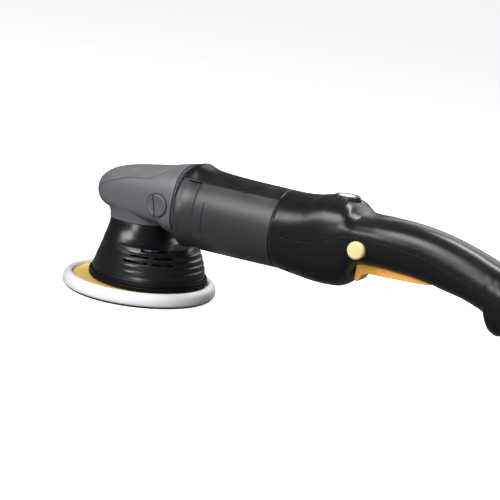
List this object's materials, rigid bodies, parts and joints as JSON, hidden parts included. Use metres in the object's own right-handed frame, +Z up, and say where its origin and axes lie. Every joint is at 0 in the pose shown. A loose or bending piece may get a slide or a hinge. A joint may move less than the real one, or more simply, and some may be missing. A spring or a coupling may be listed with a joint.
{
  "type": "dual action polisher",
  "caption": "Dual action polisher: orbiting round pad under a vented bell, gear head, barrel motor and curved paddle-switch handle.",
  "frame": {"origin": "on the axis of the output spindle, level with the working face of the pad", "axes": "+X runs along the motor towards the rear end of the handle, +Z runs up the spindle away from the pad, and +Y is the user's right when the handle is held from behind"},
  "size_m": [0.4546, 0.15, 0.1347],
  "materials": {
    "head_casting": "matt grey paint",
    "top_cover": "fine grained grey",
    "plug_grey": "matt",
    "shell_black": "satin black",
    "barrel_grey": "satin dark grey",
    "bell_black": "satin black",
    "grip_black": "soft touch",
    "lip_rubber": "dull",
    "plate_orange": "satin orange yellow",
    "foam_white": "closed cell foam",
    "hook_pile": "hook pile",
    "trigger_orange": "satin orange",
    "button_yellow": "satin yellow",
    "dial_black": "matt",
    "part_black": "moulded",
    "steel": "ground",
    "laminations": "stacked sheet",
    "alloy": "cast and turned",
    "copper": "lacquered wire",
    "brass": "pressed sheet",
    "carbon": "carbon block",
    "board_green": "lacquered board",
    "lead_brown": "insulation",
    "lead_red": "insulation"
  },
  "bodies": {
    "housing": {"bell_lip": "lip_rubber", "bell_screw_1": "steel", "bell_screw_2": "steel", "brush_carrier": "part_black", "brush_holder_left": "brass", "brush_holder_right": "brass", "cable_inlet": "lip_rubber", "carbon_brush_left": "carbon", "carbon_brush_right": "carbon", "control_board": "board_green", "cord_clamp": "part_black", "fan_baffle": "part_black", "field_coil_left": "copper", "field_coil_right": "copper", "front_bearing": "steel", "front_bearing_plate": "alloy", "gear_head": "head_casting", "handle_shell_lower": "shell_black", "handle_shell_upper": "shell_black", "head_screw_1": "steel", "head_screw_2": "steel", "head_screw_3": "steel", "head_screw_4": "steel", "head_top_cover": "top_cover", "lead_brush": "lead_red", "lead_supply": "lead_brown", "motor_housing": "barrel_grey", "rear_bearing": "steel", "shell_screw_1": "steel", "shell_screw_2": "steel", "shell_screw_3": "steel", "side_plug_left": "plug_grey", "side_plug_right": "plug_grey", "spindle_bearing_lower": "steel", "spindle_bearing_upper": "steel", "spindle_housing": "alloy", "stator_core": "laminations", "switch_module": "part_black", "top_grip_strip": "grip_black", "vent_bell": "bell_black"},
    "spindle": {"spindle": "steel", "counterweight": "steel", "crown_gear": "steel", "spindle_nut": "steel", "pad_bearing": "steel"},
    "pad": {"pad_arbor": "steel", "backing_plate": "plate_orange", "foam_rim": "foam_white", "hook_face": "hook_pile", "pad_screw": "steel"},
    "armature": {"armature_shaft": "steel", "armature_core": "laminations", "armature_winding_front": "copper", "armature_winding_rear": "copper", "commutator": "copper", "cooling_fan": "part_black", "pinion": "steel"},
    "trigger": {"trigger": "trigger_orange"},
    "lock_button": {"lock_button": "button_yellow"},
    "speed_dial": {"speed_dial": "dial_black"}
  },
  "joints": [
    {"name": "spindle_spin", "type": "hinge", "parent": "housing", "child": "spindle", "pos_m": [0, 0, 0.06], "axis": [0, 0, 1], "continuous": true},
    {"name": "pad_spin", "type": "hinge", "parent": "spindle", "child": "pad", "pos_m": [-0.00662, -0.00352, 0.03], "axis": [0, 0, 1], "continuous": true},
    {"name": "armature_spin", "type": "hinge", "parent": "housing", "child": "armature", "pos_m": [0.09, 0, 0.0905], "axis": [1, 0, 0], "continuous": true},
    {"name": "trigger_pull", "type": "hinge", "parent": "housing", "child": "trigger", "pos_m": [0.283, 0, 0.0795], "axis": [0, 1, 0], "range_deg": [0, 4], "stiffness_Nm_per_rad": 4, "springref_deg": -4.58},
    {"name": "lock_button_press", "type": "slide", "parent": "housing", "child": "lock_button", "axis": [0, 1, 0], "range_m": [0, 0.0022], "stiffness_N_per_m": 800, "springref_m": -0.002},
    {"name": "speed_dial_turn", "type": "hinge", "parent": "housing", "child": "speed_dial", "pos_m": [0.197, 0, 0.128], "axis": [0, 0, 1], "range_deg": [0, 270]}
  ],
  "couplings": [
    {"joint": "armature_spin", "follows": "spindle_spin", "ratio": 3.8571}
  ]
}
